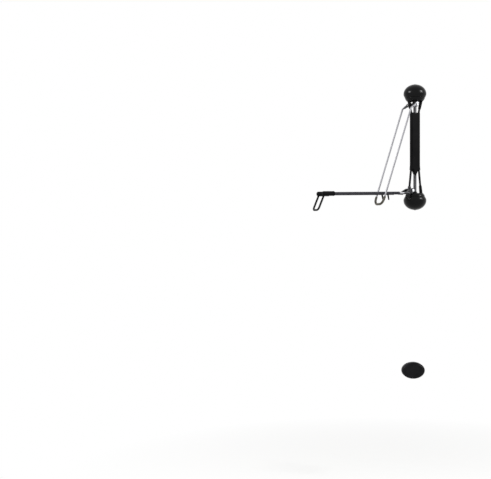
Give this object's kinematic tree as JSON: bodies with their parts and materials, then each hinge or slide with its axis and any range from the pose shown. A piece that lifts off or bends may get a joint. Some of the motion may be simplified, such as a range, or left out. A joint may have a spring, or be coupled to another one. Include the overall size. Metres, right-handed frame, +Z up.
{
  "type": "bicycle wall rack",
  "caption": "Wall rack that hangs a bicycle by one wheel: a frame swinging on a vertical axle carries a fold-up arm, an outer cradle and a wire stirrup, with a tyre rest below.",
  "frame": {"origin": "on the wall, in the middle of the four wall screws, behind the axle", "axes": "+Z up along the axle, +Y into the wall, +X to the right as seen from the room"},
  "size_m": [0.5565, 0.2962, 1.4146],
  "materials": {
    "plated_steel": "satin zinc plate",
    "white_nylon": "natural nylon",
    "gloss_black_plastic": "gloss black moulding",
    "grey_steel": "satin grey steel",
    "dark_steel": "satin blackened steel",
    "black_painted_steel": "satin black powder coat",
    "matte_black_plastic": "fine grained black moulding",
    "dark_rubber": "matte charcoal rubber",
    "black_rubber": "satin black rubber",
    "smoke_rubber": "matte smoke grey rubber",
    "bright_steel": "bright plated steel"
  },
  "bodies": {
    "wall": {"top_bracket": "plated_steel", "bottom_bracket": "plated_steel", "top_bush": "white_nylon", "bottom_bush": "white_nylon", "thrust_washers": "white_nylon", "top_cap": "gloss_black_plastic", "bottom_cap": "gloss_black_plastic", "cap_screws": "plated_steel", "rest_base": "matte_black_plastic", "rest_pad": "black_rubber"},
    "swing_frame": {"axle": "grey_steel", "front_rail": "black_painted_steel", "rear_rail": "black_painted_steel", "top_yoke": "gloss_black_plastic", "bottom_yoke": "gloss_black_plastic", "yoke_pins": "plated_steel", "rail_ferrules": "gloss_black_plastic", "body_right": "matte_black_plastic", "body_left": "matte_black_plastic", "body_screws": "plated_steel", "upper_hinge_collar": "grey_steel", "upper_hinge_bolt": "plated_steel", "upper_hinge_nut": "plated_steel", "friction_washers": "white_nylon", "lower_hinge_block": "dark_steel", "lower_hinge_bolt": "plated_steel", "lower_hinge_nut": "plated_steel"},
    "lower_arm": {"arm_knuckle_right": "dark_steel", "arm_knuckle_left": "dark_steel", "arm_rod_right": "bright_steel", "arm_rod_left": "bright_steel", "arm_sleeve_right": "dark_rubber", "arm_sleeve_left": "dark_rubber", "guide_pegs": "black_painted_steel", "end_block_right": "matte_black_plastic", "end_block_left": "matte_black_plastic", "cradle_bar": "black_painted_steel"},
    "stirrup": {"stirrup_leg_right": "bright_steel", "stirrup_leg_left": "bright_steel", "stirrup_knuckle_right": "bright_steel", "stirrup_knuckle_left": "bright_steel", "stirrup_bow": "smoke_rubber"}
  },
  "joints": [
    {"name": "swing", "type": "hinge", "parent": "wall", "child": "swing_frame", "pos_m": [0, -0.062, 0], "axis": [0, 0, 1], "range_deg": [-13, 147]},
    {"name": "arm_fold", "type": "hinge", "parent": "swing_frame", "child": "lower_arm", "pos_m": [-0.02762, -0.07372, -0.208], "axis": [-0.3907, 0.9205, 0], "range_deg": [0, 84]},
    {"name": "stirrup_fold", "type": "hinge", "parent": "swing_frame", "child": "stirrup", "pos_m": [-0.01335, -0.06767, 0.203], "axis": [0.3907, -0.9205, 0], "range_deg": [0, 12]}
  ]
}
